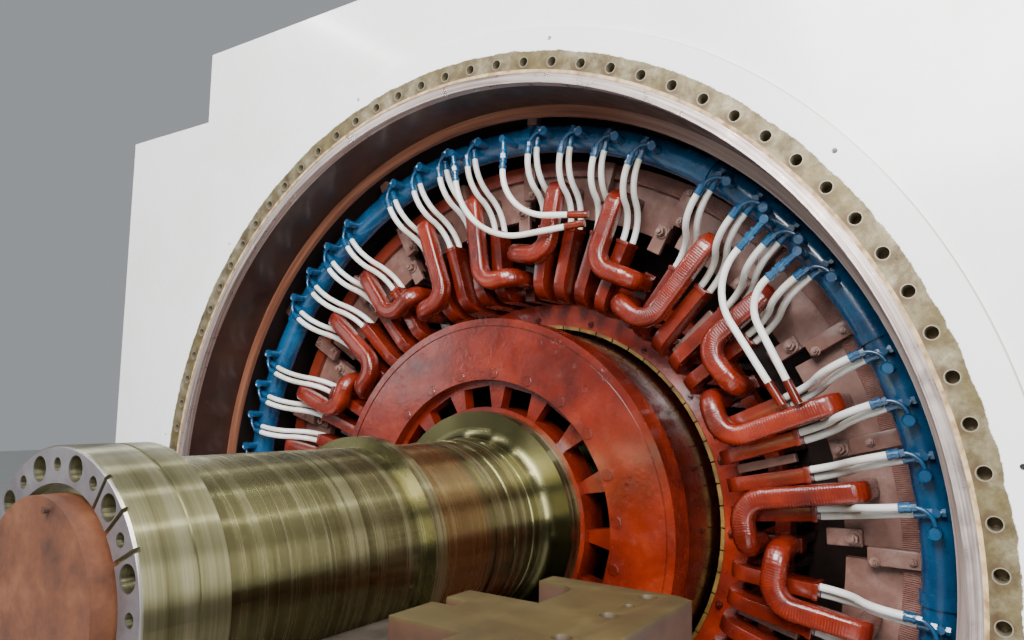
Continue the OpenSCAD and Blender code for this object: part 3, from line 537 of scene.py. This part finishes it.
first_boss, hose_turn, boss_pitch = 4.0, 2.6856, 6
boss_circle, boss_face = 1.669, 0.308
front_hose, rear_hose, rear_aside, single_hose = 0.322, 0.354, -0.022, 0.285
bm = bmesh.new()
for k in range(60):
    if k % 5 == 4:
        continue
    hose_at = first_boss + hose_turn + boss_pitch * k
    bands(bm, hose_at, front_hose, 0.0, 0.0178, 0.007, 1.578, 1.603)
    nut(bm, hose_at, front_hose, 0.0, 1.612, 0.0125, 0.016)
    bands(bm, hose_at, rear_hose, rear_aside, 0.0168, 0.007, 1.615, 1.640)
    nut(bm, hose_at, rear_hose, rear_aside, 1.6495, 0.0165, 0.018)
    nut(bm, hose_at, rear_hose, rear_aside, 1.692, 0.0140, 0.012)
    boss = facing(first_boss + boss_pitch * k, boss_circle, boss_face)
    cup = turned_disc(bm, boss, 0.0205, -0.004, 0.005, 20)
    lid = [f for f in {f for v in cup for f in v.link_faces} if len(f.verts) == 20]
    lid.sort(key=lambda f: f.calc_center_median().y)
    bmesh.ops.inset_individual(bm, faces=lid[:1], thickness=0.006, depth=0.0)
    bmesh.ops.translate(bm, vec=(0, 0.0065, 0), verts=lid[0].verts)
for angle in (44.4, 38.6, 98.4, 88.5, 224.4, 218.6, 278.4, 268.5):
    bands(bm, angle, single_hose, 0.0, 0.0175, 0.008, 1.514, 1.540, 1.588)
    nut(bm, angle, single_hose, 0.0, 1.556, 0.0190, 0.020)
crimps = place(bm, "hose_crimps_and_nuts", "stator", "blue_enamel")
crimps.data.materials.append(blue)

# --- Water hoses
# White fluoroplastic hoses, a little waxy and yellowed in places. They run in pairs from the pipe to
# each bar head, and singly to the heavy leads.
hose = finish("white_hose", (0.80, 0.79, 0.75), 0.35, coat=0.2)
skin_of(hose).inputs["Subsurface Weight"].default_value = 0.15
skin_of(hose).inputs["Subsurface Scale"].default_value = 0.01
wire(hose, steps(hose, speckle(hose, 6.0, 5), (0.3, (0.58, 0.54, 0.42)), (0.5, (0.74, 0.73, 0.69)),
                 (0.8, (0.82, 0.82, 0.80))), "Base Color")
relief(hose, speckle(hose, 80.0, 3), 0.001, 0.2)
for n in ("winding_hoses", "rear_hoses", "single_hoses"):
    wear(n, hose)

# --- Bearing pedestal
# Open lower half of the front bearing: a cast body in dark red brown paint, with a scraped olive
# joint face on top and the lower half of the bearing shell in it.
tan = finish("beige_pedestal_paint", (0.30, 0.21, 0.13), 0.5)
face = steps(tan, speckle(tan, 5.0, 7, 0.6), (0.3, (0.030, 0.020, 0.005)), (0.55, (0.055, 0.038, 0.010)),
             (0.8, (0.100, 0.072, 0.026)))
side = steps(tan, speckle(tan, 5.0, 7, 0.6), (0.3, (0.022, 0.010, 0.006)), (0.7, (0.075, 0.032, 0.018)))
top = ramp(tan, part_of(tan, "Z"), axis_height - 0.012, axis_height - 0.004)
joint = between(tan, sums(tan, "ABSOLUTE", part_of(tan, "X")), 0.8955, 0.8990, 0.001)
joint = sums(tan, "MULTIPLY", joint,
             between(tan, part_of(tan, "Y"), flange_plane - 1.055, flange_plane - 0.746, 0.001))
coat = blend_in(tan, top, side, face)
wire(tan, blend_in(tan, sums(tan, "MULTIPLY", joint, 0.85), coat, (0.03, 0.022, 0.012)), "Base Color")
relief(tan, speckle(tan, 35.0, 5), 0.0015, 0.4)
pedestal = eased("bearing_pedestal", "scraped_bearing_pedestal", 0.005, 2, "stator", "tan_paint")
pedestal.data.materials.append(tan)
cast = finish("dark_cast_iron", (0.07, 0.06, 0.05), 0.55, metal=0.4)
wire(cast, steps(cast, speckle(cast, 7.0, 6), (0.3, (0.04, 0.03, 0.024)), (0.7, (0.12, 0.095, 0.075))),
     "Base Color")
relief(cast, speckle(cast, 60.0, 5), 0.002, 0.5)
wear("bearing_shell", cast)
wear("pedestal_base", cast)

# --- Shaft
# One forging, turned bright and left oily. The tool marks run round it, so each lamp draws a line of
# light along it, and one band near the hub has an amber film.
def turning_marks(m):
    spot = add(m, "VectorMath", operation="MULTIPLY", i0=where(m), i1=(0.5, 26.0, 0.5))
    return add(m, "TexNoise", Vector=spot, Scale=1.0, Detail=8.0, Roughness=0.75)


def lathe_sheen(m):
    spread = add(m, "CombineXYZ", i0=part_of(m, "X"), i1=1.0,
                 i2=sums(m, "SUBTRACT", part_of(m, "Z"), axis_height))
    spread = add(m, "VectorTransform", i0=spread)
    m.node_tree.nodes[-1].convert_from = "OBJECT"
    m.node_tree.nodes[-1].convert_to = "WORLD"
    wire(m, spread, "Tangent")


turned = finish("turned_steel", (0.44, 0.42, 0.33), 0.2, metal=1.0)
rings = turning_marks(turned)
fine = add(turned, "VectorMath", operation="MULTIPLY", i0=where(turned), i1=(0, 1, 0))
fine = add(turned, "TexNoise", Vector=fine, Scale=420.0, Detail=3.0, Roughness=0.6)
# The olive yellow of these tones is partly an oil film and partly a painted reflection of yellow green
# surroundings.
metal = steps(turned, rings, (0.3, (0.080, 0.072, 0.028)), (0.5, (0.175, 0.162, 0.075)),
              (0.72, (0.32, 0.30, 0.175)))
oiled = between(turned, part_of(turned, "Y"), flange_plane - 0.425, flange_plane - 0.20, 0.05)
metal = blend_in(turned, sums(turned, "MULTIPLY", oiled, 0.7), metal, (0.24, 0.15, 0.055))
score_pitch = 0.153
scored = sums(turned, "FRACT", sums(turned, "DIVIDE", part_of(turned, "Y"), score_pitch))
metal = blend_in(turned, ramp(turned, scored, 0.022, 0.03, 0.45, 0.0), metal, (0.12, 0.11, 0.08))
wire(turned, metal, "Base Color")
wire(turned, steps(turned, rings, (0.3, (0.21,)), (0.7, (0.32,))), "Roughness")
skin_of(turned).inputs["Anisotropic"].default_value = 1.0
lathe_sheen(turned)
relief(turned, fine, 0.0002, 0.3)
wear("shaft", turned)

# --- Half coupling and its cap
# The coupling is turned like the shaft, with a dull lilac grey face. A rusty orange steel disc closes
# the bore in its middle.
face_steel = finish("coupling_face_steel", (0.48, 0.45, 0.47), 0.35, metal=0.9)
lilac = steps(face_steel, speckle(face_steel, 8.0, 8, 0.65), (0.3, (0.19, 0.165, 0.175)),
              (0.6, (0.33, 0.30, 0.315)), (0.8, (0.46, 0.44, 0.44)))
# The turned sides share the shaft's olive yellow tones, partly an oil film and partly a painted reflection
# of yellow green surroundings.
sided = steps(face_steel, turning_marks(face_steel), (0.3, (0.09, 0.08, 0.035)),
              (0.5, (0.18, 0.168, 0.085)), (0.72, (0.30, 0.28, 0.175)))
coupling_face = flange_plane - 1.480
rim_side = ramp(face_steel, part_of(face_steel, "Y"), coupling_face + 0.0005, coupling_face + 0.006)
wire(face_steel, blend_in(face_steel, rim_side, lilac, sided), "Base Color")
wire(face_steel, ramp(face_steel, rim_side, 0.0, 1.0, 0.42, 0.28), "Roughness")
wire(face_steel, rim_side, "Anisotropic")
lathe_sheen(face_steel)
relief(face_steel, swirl(face_steel, 0.003, 0.5), 0.0004, 0.3)
wear("half_coupling", face_steel)
cap = finish("rusty_orange_cap", (0.33, 0.10, 0.035), 0.55)
wire(cap, steps(cap, speckle(cap, 7.0, 8, 0.7), (0.3, (0.040, 0.013, 0.006)), (0.5, (0.095, 0.030, 0.011)),
                (0.75, (0.165, 0.066, 0.030))), "Base Color")
relief(cap, speckle(cap, 50.0, 6), 0.0015, 0.4)
wear("coupling_cap", cap)

# --- Centring disc, hub and retaining rings
# The hub, its spokes and the big disc carry the red enamel, pitted by small knocks, and 22 plugs
# close the disc's bolt holes. The retaining rings behind are nearly black.
def dents(m):
    pit = add(m, "TexVoronoi", feature="F1", Vector=where(m), Scale=24.0, Randomness=1.0)
    few = steps(m, speckle(m, 3.0, 3), (0.50, (0.0,)), (0.62, (1.0,)))
    return sums(m, "MULTIPLY", few, ramp(m, pit, 0.18, 0.34, -0.8, 0.0))


disc_enamel = enamel("disc_enamel", wrap=dents, worn=0.3, lift=0.95)
for n in ("hub_ring", "spoke_ring", "centring_disc", "rear_disc"):
    wear(n, disc_enamel)
plug_count, plug_circle, disc_face = 22, 0.615, 0.250
bm = bmesh.new()
for k in range(plug_count):
    at = facing((k + 0.3) * 360 / plug_count, plug_circle, disc_face)
    turned_disc(bm, at, 0.0255, -0.010, 0.0012, 32)
    turned_disc(bm, at, 0.0215, 0.0012, 0.0042, 32, 0.0025)
plugs = place(bm, "disc_bolt_plugs", "rotor", "red_enamel", "disc_bolts")
plugs.data.materials.append(enamel("plug_enamel", worn=0.6, lift=0.75))
ring_coat = enamel("retaining_ring_enamel", lift=0.22)
for n in ("retaining_ring", "rotor_body", "rear_retaining_ring"):
    wear(n, ring_coat)

# --- Floor and backdrop
# A plain pale floor for the studio. The even grey of the world stands behind it.
bm = bmesh.new()
bmesh.ops.create_grid(bm, x_segments=1, y_segments=1, size=40)
floor_mesh = bpy.data.meshes.new("studio_floor")
bm.to_mesh(floor_mesh)
bm.free()
floor = bpy.data.objects.new("studio_floor", floor_mesh)
bpy.context.scene.collection.objects.link(floor)
pale = finish("pale_floor", (0.62, 0.62, 0.60), 0.7)
wire(pale, steps(pale, speckle(pale, 2.0, 4), (0.3, (0.60, 0.60, 0.585)), (0.7, (0.64, 0.64, 0.625))),
     "Base Color")
floor.data.materials.append(pale)

# --- Lights
# Soft studio light from above and both sides. Four long tubes over the shaft draw the lines of light
# on its turned steel.
world = bpy.data.worlds.new("studio")
bpy.context.scene.world = world
world.use_nodes = True
sky = world.node_tree.nodes["Background"]
sky.inputs["Color"].default_value = (0.78, 0.82, 0.86, 1)
sky.inputs["Strength"].default_value = 0.40


def lamp_at(name, power, wide, tall, placed):
    lamp = bpy.data.lights.new(name, "AREA")
    lamp.shape = "RECTANGLE" if tall != wide else "SQUARE"
    lamp.size, lamp.size_y, lamp.energy = wide, tall, power
    holder = bpy.data.objects.new(name, lamp)
    holder.matrix_world = placed
    bpy.context.scene.collection.objects.link(holder)


for name, spot, aim, size, power in (
    ("over", (1.6, -8.6, 6.8), (0, -2.2, 2.6), 3.4, 980),
    ("left", (-5.8, -8.0, 3.8), (0, -2.5, 2.4), 2.0, 35),
    ("right", (5.5, -6.5, 4.0), (0, -2.6, 2.6), 2.6, 380),
):
    aimed = (Vector(aim) - Vector(spot)).to_track_quat("-Z", "Y").to_matrix().to_4x4()
    lamp_at(name, power, size, size, Matrix.Translation(spot) @ aimed)
tube_middle, tube_wide, tube_long = -5.6, 0.10, 6.5
along = Vector((0, 1, 0))
for n, (tilt, far, power) in enumerate(((133, 6.0, 110), (106, 6.2, 110), (80, 6.4, 100), (53, 6.0, 110))):
    out = Vector((math.cos(math.radians(tilt)), 0, math.sin(math.radians(tilt))))
    placed = Matrix((along.cross(out), along, out)).transposed().to_4x4()
    placed.translation = Vector((0, tube_middle, axis_height)) + far * out
    lamp_at("tube_%d" % n, power, tube_wide, tube_long, placed)

# --- Camera
# It stands right of the shaft, a little above the axis, and looks up to the left, as the photo's
# camera did.
yaw, pitch, roll = (math.radians(a) for a in (34.13, 5.90, 0.97))
ahead = Vector((-math.sin(yaw) * math.cos(pitch), math.cos(yaw) * math.cos(pitch), math.sin(pitch)))
level = Vector((math.cos(yaw), math.sin(yaw), 0))
across = math.cos(roll) * level + math.sin(roll) * level.cross(ahead)
upward = -math.sin(roll) * level + math.cos(roll) * level.cross(ahead)
lens = bpy.data.cameras.new("camera")
lens.lens = 27.51
lens.sensor_width = 36
lens.sensor_fit = "HORIZONTAL"
lens.clip_end = 200
camera = bpy.data.objects.new("camera", lens)
turn = Matrix((across, upward, -ahead)).transposed().to_4x4()
turn.translation = Vector((1.959, -5.378, 2.849))
camera.matrix_world = turn
bpy.context.scene.collection.objects.link(camera)
bpy.context.scene.camera = camera
